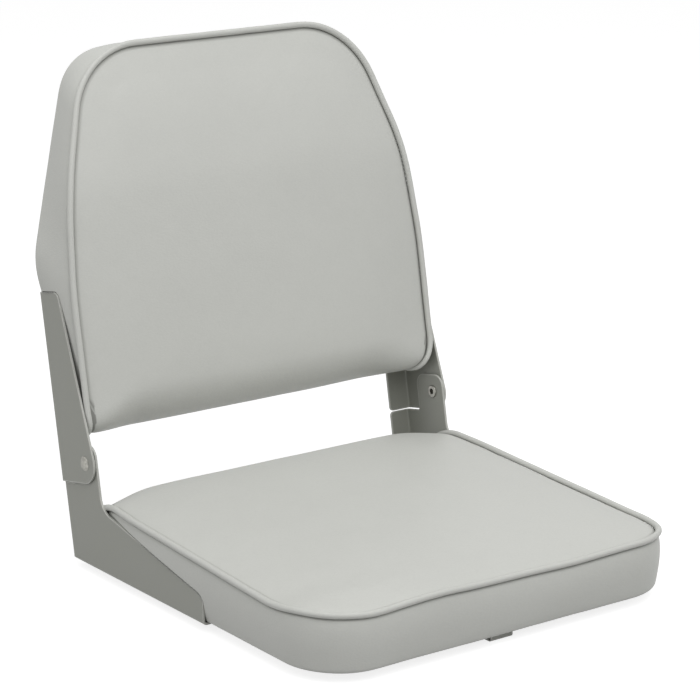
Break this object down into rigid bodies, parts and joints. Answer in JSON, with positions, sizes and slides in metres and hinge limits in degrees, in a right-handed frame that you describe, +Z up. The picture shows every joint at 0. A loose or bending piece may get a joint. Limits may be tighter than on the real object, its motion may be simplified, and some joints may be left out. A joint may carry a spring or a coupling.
{
  "type": "folding boat seat",
  "caption": "Low-back folding boat seat: welted vinyl cushions on boards, joined by riveted sheet-steel side brackets so that the back folds down onto the seat.",
  "frame": {"origin": "middle of the mounting bolt square, on the underside of the seat board", "axes": "+X to the right as seen from the front, +Y from the front edge to the back, +Z up"},
  "size_m": [0.4242, 0.4932, 0.4898],
  "materials": {
    "vinyl": "smooth matt coated vinyl",
    "foam": "open-cell upholstery foam",
    "plywood": "plain sealed plywood",
    "painted_steel": "satin grey powder coat",
    "zinc_steel": "bright zinc plate",
    "nylon": "natural nylon"
  },
  "bodies": {
    "seat": {"seat_board": "plywood", "seat_foam": "foam", "seat_top_panel": "vinyl", "seat_side_band": "vinyl", "seat_welt": "vinyl", "mounting_tee_nuts": "zinc_steel", "seat_tee_nuts": "zinc_steel", "seat_bracket_screws": "zinc_steel", "right_lower_bracket": "painted_steel", "left_lower_bracket": "painted_steel", "right_pivot_rivet": "zinc_steel", "left_pivot_rivet": "zinc_steel", "right_pivot_washer": "nylon", "left_pivot_washer": "nylon", "strap_keeper": "painted_steel", "keeper_screws": "zinc_steel"},
    "back": {"back_board": "plywood", "back_foam": "foam", "back_front_panel": "vinyl", "back_side_band": "vinyl", "back_welt": "vinyl", "back_rear_panel": "vinyl", "right_upper_bracket": "painted_steel", "left_upper_bracket": "painted_steel", "back_tee_nuts": "zinc_steel", "back_bracket_screws": "zinc_steel"}
  },
  "joints": [
    {"name": "back_fold", "type": "hinge", "parent": "seat", "child": "back", "pos_m": [0, 0.1812, 0.0995], "axis": [1, 0, 0], "range_deg": [0, 104]}
  ]
}
